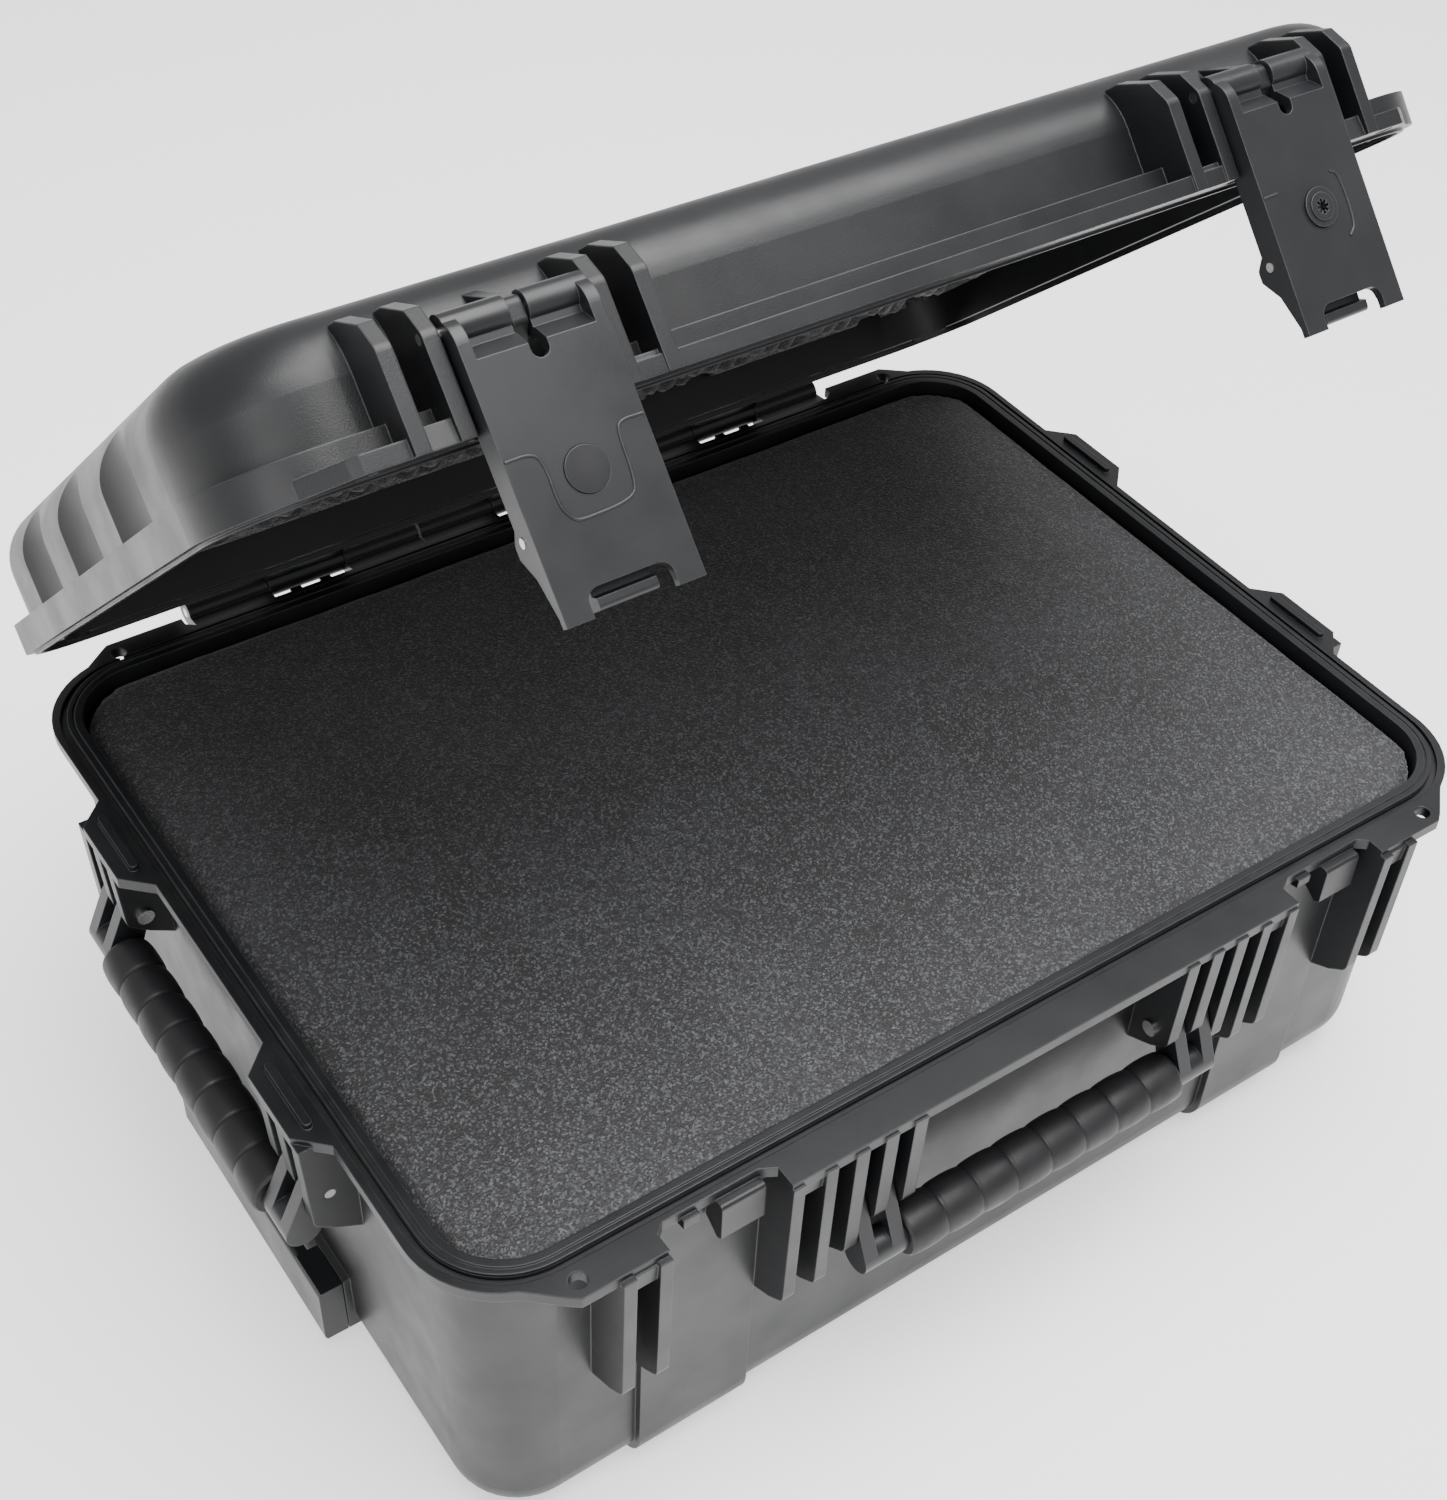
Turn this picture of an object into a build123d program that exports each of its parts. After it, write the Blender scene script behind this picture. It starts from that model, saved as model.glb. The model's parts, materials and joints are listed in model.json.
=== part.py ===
from build123d import *
import math
import os

os.makedirs("parts", exist_ok=True)

# Hard equipment case with a hinged lid, shown with its lid part open.
# X runs along the front, the front faces -Y, Z is up, and the origin is the middle of the underside.
# All sizes are in millimetres.  The lid and its latches are drawn closed and then swung open.

# ---------------------------------------------------------------- driving dimensions
# tub
cavity_length = 558.0        # inside length at the rim
cavity_depth = 412.0         # inside front-to-back size at the rim
cavity_corner = 34.0         # inside corner radius, seen from above
wall = 4.0
rim_z = 204.0                # height of the rim above the surface the case stands on
foot_height = 3.0
runner_long = 340.0
runner_wide = 8.0
runner_in = 90.0             # outer runners, inward from the cavity edge
draft = 0.8                  # mould taper of the tub walls, degrees
bottom_round = 24.0          # outside radius along the bottom edge
# rim
groove_offset = 9.0          # middle of the rim groove, outward from the cavity edge
groove_width = 3.2
groove_deep = 4.0
flange_margin = 5.0          # flange past the groove
flange_thick = 6.0
ridge_high = 1.5
# front plates and ribs
plate_reach = 20.0           # centre plate, forward of the groove
ear_reach = 18.0
back_ear_short = 4.0         # rear ears reach less far than the front ones
rib_reach = 21.0
rib_thick = 6.0
rib_gap = 11.0               # clear slot between the two ribs of a pair
plate_half = 146.5
bay_half = 29.5              # half the width of the space for a latch
bay_bump = 4.0               # wall bulge behind a latch
rib_drop = 88.0
# lid
closing_gap = 0.4
lid_rise = 62.0              # height of the lid above the rim
lid_corner = 54.0
lid_round = 26.0
lid_band = 15.0
lid_wall_in = 3.0            # lid cavity edge, inside the tub cavity edge
lid_front_set = 7.0          # lid front wall, behind the groove
tongue_deep = 1.4
tongue_width = 2.4
lid_open = 42.5              # opening angle of the lid as shown, degrees
valley_wide = 55.0
valley_deep = 8.0
valley_share = 0.604         # spacing of the valleys against the straight part of an end
hinge_reach = 22.0           # hinge axis, outward from the groove
hinge_drop = 4.0             # hinge axis below the rim
hinge_r = 7.0
hinge_pin_r = 2.5
knuckle = 44.0
hinge_places = (-134.0, 0.0, 134.0)
# latches
latch_width = 56.0
latch_drop = 70.0            # bottom of the closed latch below the rim
latch_axis_rise = 37.0
latch_axis_in = 4.0          # latch axis, inward from the rib fronts
latch_plate = 4.0
latch_side = 3.0             # thickness of the latch side walls
latch_shoulder = 11.0        # rounding over the top of a latch
pocket_frame = 5.0           # solid edge beside the barrels
barrel_r = 6.5
barrel_gap = 7.0             # space between the two barrels for the lid fin
latch_pin_r = 2.0
trigger_drop = 38.0
trigger_in = 9.0             # trigger pin behind the front of the latch
notch_wide = 34.0
notch_high = 10.0
plug_drop = 22.0
plug_r = 8.5
lock_r = 6.0
catch_wide = 22.0
catch_shift = 12.0           # catch, from the middle of the latch bay
catch_deep = 28.0
catch_reach = 10.5           # catch front, forward of the groove
# handles
clevis_mid = 95.0            # middle of each handle clevis from the handle's centre
clevis_pitch = 15.5
clevis_rib = 7.0
clevis_below = 5.0
handle_pin_r = 2.5
handle_arm = (11.0, 28.0)    # grip below the pivot: outward and down
grip_r = 13.0
grip_half = 82.0
arm_thick = 7.0
front_pivot_drop = 58.0
side_pivot_drop = 38.5
pivot_out = 7.0              # handle pivots, outward from the groove
side_shift = 6.0             # side fittings, toward the back
boss_reach = 18.0            # side bosses, outward from the groove
boss_inner = 68.0
boss_outer = 107.0
# padlock ears
ear_in = 36.0                # padlock holes, inward from the cavity ends
ear_hole_in = 8.5
ear_hole_r = 4.0
# pressure valve
valve_x = -10.0
valve_drop = 24.0
valve_r = 11.0
# pull handle
rail_y = 62.0
rail_z = 26.0
rail_high = 14.0
rail_wide = 18.0
rail_length = 470.0
sleeve_wall = 2.0
block_wide = 30.0
block_places = (-195.0, 140.0)
pull_half = 78.0
pull_low = 15.0
pull_high = 52.0
pull_out = 14.0              # outer face of the pull handle, outward from the wall
pull_bar = 7.0
pull_strip = 1.5             # raised strip of wall behind the pull handle
pull_travel = 380.0
# wheels
wheel_r = 24.0
wheel_width = 24.0
wheel_in = 56.0              # wheels, inward from the cavity edge
tyre_thick = 6.0
axle_r = 4.0
bearing_r = 9.0
bearing_wide = 6.0
well_margin = 4.0
well_wall = 4.0
well_side = 1.5              # clear space beside a wheel
# foam
foam_gap = 0.8
foam_below_rim = 5.0
foam_pad_thick = 40.0
lid_foam_thick = 38.0
# fits
clearance = 0.3
running = 0.05

# ---------------------------------------------------------------- derived places
floor_z = foot_height + wall
half_length = cavity_length / 2
half_depth = cavity_depth / 2
groove_x = half_length + groove_offset
groove_y = half_depth + groove_offset
plate_y = groove_y + plate_reach
ear_y = groove_y + ear_reach
rib_y = groove_y + rib_reach
boss_x = groove_x + boss_reach
hinge_y = groove_y + hinge_reach
hinge_z = rim_z - hinge_drop
ear_x = half_length - ear_in
runner_y = half_depth - runner_in
valley_pitch = valley_share * (groove_y - lid_front_set - lid_corner)
lid_z = rim_z + closing_gap
lid_top = rim_z + lid_rise
bay_x = plate_half + bay_half
rib_step = rib_thick + rib_gap
inner_rib = bay_x - bay_half - rib_thick / 2
outer_rib = bay_x + bay_half + rib_thick / 2
rib_places = (inner_rib - rib_step, inner_rib, outer_rib, outer_rib + rib_step)
latch_axis_y = rib_y - latch_axis_in
latch_axis_z = rim_z + latch_axis_rise
latch_front = rib_y + 7
latch_low = rim_z - latch_drop
latch_back = latch_front - 14
latch_cam = latch_front - 16.5
pocket_z = rim_z + 23
fin_slot_z = rim_z + 18
latch_top = latch_axis_z + 4
trigger_z = rim_z - trigger_drop
trigger_y = latch_front - trigger_in
catch_y = groove_y + catch_reach
front_pivot = (groove_y + pivot_out, rim_z - front_pivot_drop)
side_pivot = (groove_x + pivot_out, rim_z - side_pivot_drop)
sleeve_high = rail_high + 2 * (clearance + sleeve_wall)
sleeve_wide = rail_wide + 2 * (clearance + sleeve_wall)
wheel_x = half_length - 3
wheel_y = half_depth - wheel_in
wheel_z = foot_height + wheel_r
well_half = wheel_width / 2 + well_side
well_top = wheel_z + wheel_r + well_margin
well_end = wheel_x - wheel_r - well_margin
foam_top = rim_z - foam_below_rim
hook_y = catch_y + 2.1
spring_half = 6.0
sleeve_end = rail_length - half_length + 20
core_r = 6.0

hinge_axis = Axis((0, hinge_y, hinge_z), (-1, 0, 0))


def facing(side, along):
    """Plane across one side of the case: local X points out of that side and local Y points up."""
    out, across, place = {
        "front": ((0, -1, 0), (-1, 0, 0), (along, 0, 0)),
        "back": ((0, 1, 0), (1, 0, 0), (along, 0, 0)),
        "left": ((-1, 0, 0), (0, 1, 0), (0, along, 0)),
        "right": ((1, 0, 0), (0, -1, 0), (0, along, 0)),
    }[side]
    return Plane(origin=place, x_dir=out, z_dir=across)


def slab(z_low, z_high, length, depth, radius, mode=Mode.ADD, at=(0, 0)):
    """Rounded rectangular slab between two heights."""
    with BuildSketch(Plane.XY.offset(z_low)) as profile:
        with Locations(at):
            RectangleRounded(length, depth, radius)
    extrude(profile.sketch, amount=z_high - z_low, mode=mode)


def ring(z_low, z_high, outside, inside, mode=Mode.ADD):
    """Band that follows the cavity edge between two outward offsets."""
    with BuildSketch(Plane.XY.offset(z_low)) as profile:
        RectangleRounded(cavity_length + 2 * outside, cavity_depth + 2 * outside, cavity_corner + outside)
        RectangleRounded(cavity_length + 2 * inside, cavity_depth + 2 * inside, cavity_corner + inside,
                         mode=Mode.SUBTRACT)
    extrude(profile.sketch, amount=z_high - z_low, mode=mode)


def upright(side, along, thick, points, rounding=(), mode=Mode.ADD):
    """Web of one thickness standing on a side; points are (outward, height) pairs.

    rounding lists (point number, radius) for the corners that are rounded.
    """
    with BuildSketch(facing(side, along)) as profile:
        with BuildLine():
            Polyline(*points, close=True)
        make_face()
        for number, radius in rounding:
            corner = Vector(points[number][0], points[number][1], 0)
            fillet(profile.vertices().sort_by_distance(corner)[0], radius)
    extrude(profile.sketch, amount=thick / 2, both=True, mode=mode)


def crossbar(side, along, thick, out, height, radius, mode=Mode.ADD):
    """Round bar or bore that runs along a side."""
    with BuildSketch(facing(side, along)) as profile:
        with Locations((out, height)):
            Circle(radius)
    extrude(profile.sketch, amount=thick / 2, both=True, mode=mode)


def rim_outline():
    """Flange outline with its padlock ears and centre plate."""
    RectangleRounded(2 * (groove_x + flange_margin), 2 * (groove_y + flange_margin), cavity_corner + 12)
    ear_start = bay_x + bay_half
    for x in (-1, 1):
        for y in (-1, 1):
            reach = ear_y - (back_ear_short if y > 0 else 0)
            Polygon((x * groove_x, y * (groove_y - 26)), (x * (groove_x - 5), y * (groove_y - 15)),
                    (x * (ear_x + 7), y * (reach - 3)), (x * (ear_x + 3), y * reach),
                    (x * ear_start, y * reach), (x * ear_start, y * (groove_y + 9)),
                    (x * (ear_start - 6), y * (groove_y + flange_margin - 1)),
                    (x * (ear_start - 6), y * (groove_y - 26)), align=None)
    Polygon((-plate_half - 9, -groove_y - flange_margin + 1), (-plate_half, -groove_y - 9),
            (-plate_half, -plate_y), (plate_half, -plate_y), (plate_half, -groove_y - 9),
            (plate_half + 9, -groove_y - flange_margin + 1), (plate_half, -groove_y + 6),
            (-plate_half, -groove_y + 6), align=None)


def ear_holes(z_low, mode=Mode.SUBTRACT):
    """Padlock holes through the four ears."""
    with BuildSketch(Plane.XY.offset(z_low)) as profile:
        for y, reach in ((-1, ear_y), (1, ear_y - back_ear_short)):
            with Locations((-ear_x, y * (reach - ear_hole_in)), (ear_x, y * (reach - ear_hole_in))):
                Circle(ear_hole_r)
    extrude(profile.sketch, amount=flange_thick + 3, mode=mode)


def drop_rib(side, along, thick, low, near, far):
    """Rib under the rim, whose lower end slopes down toward the wall."""
    upright(side, along, thick,
            [(near, rim_z - flange_thick / 2), (far, rim_z - flange_thick / 2), (far - 2, low + 2),
             (far - 12, low - 6), (near, low - 16)], [(2, 6.0)])


def clevis(side, centre, end, pivot, near, far):
    """Three ribs that carry one end of a handle, bored for its pin; the outer one hangs lower."""
    low = pivot[1] - clevis_below
    drop_rib(side, centre - clevis_pitch, clevis_rib, low - (14 if end < 0 else 0), near, far)
    drop_rib(side, centre, clevis_rib, low, near, far)
    drop_rib(side, centre + clevis_pitch, clevis_rib, low - (14 if end > 0 else 0), near, far)
    crossbar(side, centre, 2 * clevis_pitch + clevis_rib + 2, pivot[0], pivot[1],
             handle_pin_r + running, Mode.SUBTRACT)


# ---------------------------------------------------------------- base tub
with BuildPart() as cavity:
    with BuildSketch(Plane.XY.offset(rim_z + ridge_high)):
        RectangleRounded(cavity_length, cavity_depth, cavity_corner)
    extrude(amount=rim_z + ridge_high - floor_z, dir=(0, 0, -1), taper=draft)
    fillet(cavity.edges().group_by(Axis.Z)[0], bottom_round - wall)

with BuildPart() as base_shell:
    with BuildSketch(Plane.XY.offset(rim_z)):
        RectangleRounded(cavity_length + 2 * wall, cavity_depth + 2 * wall, cavity_corner + wall)
    extrude(amount=rim_z - foot_height, dir=(0, 0, -1), taper=draft)
    fillet(base_shell.edges().group_by(Axis.Z)[0], bottom_round)
    # wall bulges behind the latches and hinges
    bulge = half_depth + wall + bay_bump
    lean = (rim_z - foot_height) * math.tan(math.radians(draft))
    for side in ("front", "back"):
        for x in (-bay_x, bay_x):
            upright(side, x, 2 * bay_half,
                    [(half_depth - 40, foot_height), (bulge - lean, foot_height), (bulge, rim_z - 1),
                     (half_depth - 40, rim_z - 1)], [(1, bottom_round)])
    # rim flange with its ears, plate and side bosses
    with BuildSketch(Plane.XY.offset(rim_z - flange_thick)):
        rim_outline()
        for x in (-1, 1):
            for y in (-1, 1):
                Polygon((x * groove_x, side_shift + y * (boss_inner - boss_reach)),
                        (x * boss_x, side_shift + y * boss_inner),
                        (x * boss_x, side_shift + y * boss_outer),
                        (x * groove_x, side_shift + y * (boss_outer + boss_reach)), align=None)
    extrude(amount=flange_thick)
    ring(rim_z - 1, rim_z + ridge_high, groove_offset - 1.8, 0)
    for x in (-1, 1):
        for y in (-1, 1):
            slab(rim_z - 1, rim_z + 3, 4, boss_outer - boss_inner, 1.9, Mode.ADD,
                 (x * (boss_x - 9), side_shift + y * (boss_inner + boss_outer) / 2))
    # pairs of ribs beside the latches, joined by a short web at the top
    for x in (-1, 1):
        for place in rib_places:
            drop_rib("front", x * place, rib_thick, rim_z - rib_drop, half_depth - 1, rib_y)
            drop_rib("back", x * place, rib_thick, rim_z - rib_drop, half_depth - 1, rib_y - 10)
        for start in (rib_places[0], rib_places[2]):
            upright("front", x * (start + rib_step / 2), rib_gap + 1,
                    [(half_depth, rim_z - 4), (rib_y - 2, rim_z - 4), (rib_y - 3, rim_z - 15),
                     (half_depth, rim_z - 15)])
    # handle clevises at the front and at the left end, plain ribs at the right end
    for end in (-1, 1):
        clevis("front", end * clevis_mid, end, front_pivot, half_depth - 1, rib_y)
        clevis("left", side_shift + end * clevis_mid, end, side_pivot, half_length - 1, boss_x)
        for step in (-1, 0, 1):
            drop_rib("right", side_shift + end * clevis_mid + step * clevis_pitch, clevis_rib,
                     side_pivot[1] - clevis_below, half_length - 1, boss_x)
    # latch catches under the rim
    for x in (-bay_x, bay_x):
        upright("front", x + catch_shift, catch_wide,
                [(half_depth, rim_z - 5), (catch_y, rim_z - 5), (catch_y, rim_z - catch_deep + 2),
                 (catch_y - 3, rim_z - catch_deep), (half_depth, rim_z - catch_deep + 12)], [(1, 2.0)])
        upright("front", x - catch_shift, 8,
                [(half_depth, rim_z - 4), (catch_y - 3, rim_z - 4), (catch_y - 3, rim_z - 9),
                 (half_depth, rim_z - 12)])
    # hinge knuckles, two for each hinge
    for place in hinge_places:
        for end in (-1, 1):
            x = place + end * (knuckle + clearance)
            upright("back", x, knuckle,
                    [(half_depth, hinge_z - 26), (hinge_y - 2, hinge_z - hinge_r + 1), (hinge_y, hinge_z),
                     (groove_y, hinge_z + 3), (half_depth, hinge_z + 3)])
            crossbar("back", x, knuckle, hinge_y, hinge_z, hinge_r)
    # feet
    for x in (-1, 1):
        for y in (-1, 1):
            slab(0, foot_height + 1, 60, 34, 8, Mode.ADD, (x * (half_length - 62), y * (half_depth - 52)))
    slab(0, foot_height + 1, runner_long, runner_wide, 3.9)
    for y in (-1, 1):
        slab(foot_height / 2, foot_height + 1, runner_long, runner_wide, 3.9, Mode.ADD, (0, y * runner_y))
    # raised strip of wall behind the pull handle
    upright("left", 0, 2 * pull_half,
            [(half_length - 20, pull_low), (half_length + wall + pull_strip, pull_low),
             (half_length + wall + pull_strip, pull_high), (half_length - 20, pull_high + 10)])
    add(cavity.part, mode=Mode.SUBTRACT)
    # wheel housings in the right end
    for y in (-wheel_y, wheel_y):
        upright("right", y, 2 * (well_half + well_wall),
                [(well_end - well_wall, foot_height), (half_length + 1, foot_height),
                 (half_length + 1, well_top + well_wall), (well_end - well_wall, well_top + well_wall)],
                [(3, wheel_r)])
        upright("right", y, 2 * well_half,
                [(well_end, 0), (half_length + 30, 0), (half_length + 30, well_top), (well_end, well_top)],
                [(3, wheel_r)], Mode.SUBTRACT)
        crossbar("right", y, 2 * (well_half + well_wall) + 2, wheel_x, wheel_z, axle_r + running,
                 Mode.SUBTRACT)
    # hinge pin bores
    for place in hinge_places:
        crossbar("back", place, 3 * knuckle + 4, hinge_y, hinge_z, hinge_pin_r + running, Mode.SUBTRACT)
    # groove round the rim and the thin line inside it
    ring(rim_z - groove_deep, rim_z + ridge_high, groove_offset + groove_width / 2,
         groove_offset - groove_width / 2, Mode.SUBTRACT)
    ring(rim_z + ridge_high - 0.8, rim_z + ridge_high, groove_offset - 4, groove_offset - 5.2, Mode.SUBTRACT)
    ear_holes(rim_z - flange_thick - 1)
    # valve bore through the front wall
    with BuildSketch(Plane.XZ.offset(half_depth - 20)):
        with Locations((valve_x, rim_z - valve_drop)):
            Circle(valve_r - 3)
    extrude(amount=40, mode=Mode.SUBTRACT)
    # windows for the pull-handle sleeves
    with BuildSketch(Plane.YZ.offset(-half_length - 12)):
        with Locations((-rail_y, rail_z), (rail_y, rail_z)):
            Rectangle(sleeve_wide + 2 * clearance, sleeve_high + 2 * clearance)
    extrude(amount=30, mode=Mode.SUBTRACT)

base_shell.part.label = "base_shell"
export_step(base_shell.part, "parts/base_shell.step")

with BuildPart() as gasket:
    ring(rim_z - groove_deep, rim_z - groove_deep + 2, groove_offset + groove_width / 2 - 0.1,
         groove_offset - groove_width / 2 + 0.1)
gasket.part.label = "gasket"
export_step(gasket.part, "parts/gasket.step")

# ---------------------------------------------------------------- base foam
with BuildPart() as foam_block:
    with BuildSketch(Plane.XY.offset(foam_top)):
        RectangleRounded(cavity_length - 2 * foam_gap - 1, cavity_depth - 2 * foam_gap - 1, cavity_corner - 1)
    extrude(amount=foam_top - floor_z - foam_gap, dir=(0, 0, -1), taper=draft)
    fillet(foam_block.edges().group_by(Axis.Z)[0], bottom_round - wall)
    for y in (-wheel_y, wheel_y):
        upright("right", y, 2 * (well_half + well_wall + foam_gap),
                [(well_end - well_wall - foam_gap, 0), (half_length + 30, 0),
                 (half_length + 30, well_top + well_wall + foam_gap),
                 (well_end - well_wall - foam_gap, well_top + well_wall + foam_gap)], (), Mode.SUBTRACT)
    for y in (-rail_y, rail_y):
        upright("left", y, sleeve_wide + 2 * foam_gap,
                [(-sleeve_end - foam_gap, 0), (half_length + 30, 0),
                 (half_length + 30, rail_z + sleeve_high / 2 + foam_gap),
                 (-sleeve_end - foam_gap, rail_z + sleeve_high / 2 + foam_gap)], (), Mode.SUBTRACT)
    for x in block_places:
        slab(0, rail_z - sleeve_high / 2 + sleeve_wall + foam_gap, block_wide + 2 * foam_gap,
             2 * rail_y + sleeve_wide + 2 * foam_gap, 2, Mode.SUBTRACT, (x, 0))

pad_top = floor_z + foam_pad_thick
layer_split = (pad_top + foam_top) / 2

with BuildPart() as foam_pad:
    add(foam_block.part)
    slab(floor_z, pad_top, cavity_length, cavity_depth, 5, Mode.INTERSECT)
foam_pad.part.label = "foam_pad"
export_step(foam_pad.part, "parts/foam_pad.step")

with BuildPart() as foam_layer_lower:
    add(foam_block.part)
    slab(pad_top + clearance, layer_split, cavity_length, cavity_depth, 5, Mode.INTERSECT)
foam_layer_lower.part.label = "foam_layer_lower"
export_step(foam_layer_lower.part, "parts/foam_layer_lower.step")

with BuildPart() as foam_layer_upper:
    add(foam_block.part)
    slab(layer_split + clearance, foam_top, cavity_length, cavity_depth, 5, Mode.INTERSECT)
foam_layer_upper.part.label = "foam_layer_upper"
export_step(foam_layer_upper.part, "parts/foam_layer_upper.step")

# ---------------------------------------------------------------- pins and valve on the base
with BuildPart() as hinge_pins:
    for place in hinge_places:
        crossbar("back", place, 3 * knuckle + 2 * clearance, hinge_y, hinge_z, hinge_pin_r)
hinge_pins.part.label = "hinge_pins"
export_step(hinge_pins.part, "parts/hinge_pins.step")


def clevis_pin(side, centre, end, pivot):
    """Handle pin with its head on the inner face of the clevis."""
    half = clevis_pitch + clevis_rib / 2
    crossbar(side, centre, 2 * half, pivot[0], pivot[1], handle_pin_r)
    crossbar(side, centre - end * (half + 0.8), 1.6, pivot[0], pivot[1], handle_pin_r + 1.7)


with BuildPart() as front_handle_pins:
    for end in (-1, 1):
        clevis_pin("front", end * clevis_mid, end, front_pivot)
front_handle_pins.part.label = "front_handle_pins"
export_step(front_handle_pins.part, "parts/front_handle_pins.step")

with BuildPart() as side_handle_pins:
    for end in (-1, 1):
        clevis_pin("left", side_shift + end * clevis_mid, end, side_pivot)
side_handle_pins.part.label = "side_handle_pins"
export_step(side_handle_pins.part, "parts/side_handle_pins.step")

valve_face = half_depth + wall + 0.9


def valve_disc(start, thick, radius, mode=Mode.ADD):
    """Disc on the pressure valve's axis, from a distance in front of the case's middle."""
    with BuildSketch(Plane.XZ.offset(start)) as profile:
        with Locations((valve_x, rim_z - valve_drop)):
            Circle(radius)
    extrude(profile.sketch, amount=thick, mode=mode)


with BuildPart() as valve_seal:
    valve_disc(half_depth + wall - 0.05, 0.95, valve_r - 0.5)
    valve_disc(half_depth + wall - 1, 3, valve_r - 2.9, Mode.SUBTRACT)
valve_seal.part.label = "valve_seal"
export_step(valve_seal.part, "parts/valve_seal.step")

with BuildPart() as valve_body:
    valve_disc(valve_face, 4, valve_r)
    valve_disc(half_depth + 0.5, wall + 1, valve_r - 3.1)
    valve_disc(half_depth, 20, valve_r - 6, Mode.SUBTRACT)
valve_body.part.label = "valve_body"
export_step(valve_body.part, "parts/valve_body.step")

with BuildPart() as valve_cap:
    valve_disc(valve_face + 4, 3, valve_r - 2)
    valve_disc(valve_face + 1, 3, valve_r - 6.1)
valve_cap.part.label = "valve_cap"
export_step(valve_cap.part, "parts/valve_cap.step")

# ---------------------------------------------------------------- lid, drawn closed
with BuildPart() as lid_cavity:
    with BuildSketch(Plane.XY.offset(lid_z)):
        RectangleRounded(cavity_length - 2 * lid_wall_in, cavity_depth - 2 * lid_wall_in, cavity_corner)
    extrude(amount=lid_top - wall - lid_z, taper=draft)
    fillet(lid_cavity.edges().group_by(Axis.Z)[-1], lid_round - wall)

valley_round = (valley_wide ** 2 / 4 + valley_deep ** 2) / (2 * valley_deep)

with BuildPart() as lid_shell:
    with BuildSketch(Plane.XY.offset(lid_z)):
        RectangleRounded(2 * groove_x, 2 * (groove_y - lid_front_set), lid_corner)
    extrude(amount=lid_top - lid_z)
    fillet(lid_shell.edges().group_by(Axis.Z)[-1], lid_round)
    # shallow valleys down the two ends
    with BuildSketch(Plane.XY.offset(lid_z + lid_band)):
        for x in (-1, 1):
            for place in (-valley_pitch, 0, valley_pitch):
                with Locations((x * (groove_x - valley_deep + valley_round), place)):
                    Circle(valley_round)
    extrude(amount=lid_rise, mode=Mode.SUBTRACT)
    # flange with its ears and plate, and the band above it
    with BuildSketch(Plane.XY.offset(lid_z)):
        rim_outline()
    extrude(amount=flange_thick + 1)
    slab(lid_z, lid_z + lid_band, 2 * (groove_x + flange_margin), 2 * (groove_y + flange_margin),
         cavity_corner + 12)
    # ribs beside the latches and fins between their barrels
    for x in (-1, 1):
        for place in rib_places:
            upright("front", x * place, rib_thick,
                    [(half_depth - 4, lid_z), (rib_y, lid_z), (rib_y, latch_axis_z + 1),
                     (rib_y - 7, latch_axis_z + 11), (groove_y - 5, rim_z + 54), (half_depth - 4, rim_z + 54)],
                    [(2, 5.0)])
            upright("back", x * place, rib_thick,
                    [(half_depth - 4, lid_z), (groove_y + 6, lid_z), (groove_y + 6, rim_z + 30),
                     (groove_y - 5, rim_z + 50), (half_depth - 4, rim_z + 50)])
        for start in (rib_places[0], rib_places[2]):
            upright("front", x * (start + rib_step / 2), rib_gap + 1,
                    [(half_depth - 4, lid_z), (rib_y - 2, lid_z), (rib_y - 3, lid_z + 9),
                     (half_depth - 4, lid_z + 9)])
        upright("front", x * bay_x, barrel_gap - 1,
                [(half_depth - 4, rim_z + 18), (groove_y + 5, rim_z + 18),
                 (latch_axis_y + 4, latch_axis_z - 5), (latch_axis_y + 4, latch_axis_z + 4),
                 (half_depth - 4, latch_axis_z + 14)], [(2, 2.5), (3, 3.5)])
    # knuckles that fit between the base knuckles
    for place in hinge_places:
        upright("back", place, knuckle - 2 * clearance,
                [(groove_y - 9, lid_z + 0.6), (groove_y + 6, lid_z + 0.6), (hinge_y - hinge_r + 1, hinge_z),
                 (hinge_y, hinge_z), (hinge_y + 5, hinge_z + 5), (groove_y + 6, lid_z + 14),
                 (groove_y - 9, lid_z + 14)])
        crossbar("back", place, knuckle - 2 * clearance, hinge_y, hinge_z, hinge_r)
    add(lid_cavity.part, mode=Mode.SUBTRACT)
    # step that clears the ridge of the tub rim, and the tongue that enters its groove
    ring(lid_z, lid_z + ridge_high + clearance, groove_offset - 1.4, -lid_wall_in - 1, Mode.SUBTRACT)
    ring(lid_z - tongue_deep, lid_z + 1, groove_offset + tongue_width / 2, groove_offset - tongue_width / 2)
    for place in hinge_places:
        crossbar("back", place, knuckle + 4, hinge_y, hinge_z, hinge_pin_r + running, Mode.SUBTRACT)
    for x in (-bay_x, bay_x):
        crossbar("front", x, 2 * (bay_half + rib_thick) + 1, latch_axis_y, latch_axis_z,
                 latch_pin_r + running, Mode.SUBTRACT)
    ear_holes(lid_z - 1)
lid_shell.part = lid_shell.part.rotate(hinge_axis, lid_open)
lid_shell.part.label = "lid_shell"
export_step(lid_shell.part, "parts/lid_shell.step")

with BuildPart() as lid_foam:
    with BuildSketch(Plane.XY.offset(lid_top - wall - foam_gap)):
        RectangleRounded(cavity_length - 2 * lid_wall_in - 7, cavity_depth - 2 * lid_wall_in - 7, cavity_corner)
    extrude(amount=-lid_foam_thick)
    fillet(lid_foam.edges().group_by(Axis.Z)[-1], lid_round - wall)
lid_foam.part = lid_foam.part.rotate(hinge_axis, lid_open)
lid_foam.part.label = "lid_foam"
export_step(lid_foam.part, "parts/lid_foam.step")

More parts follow.
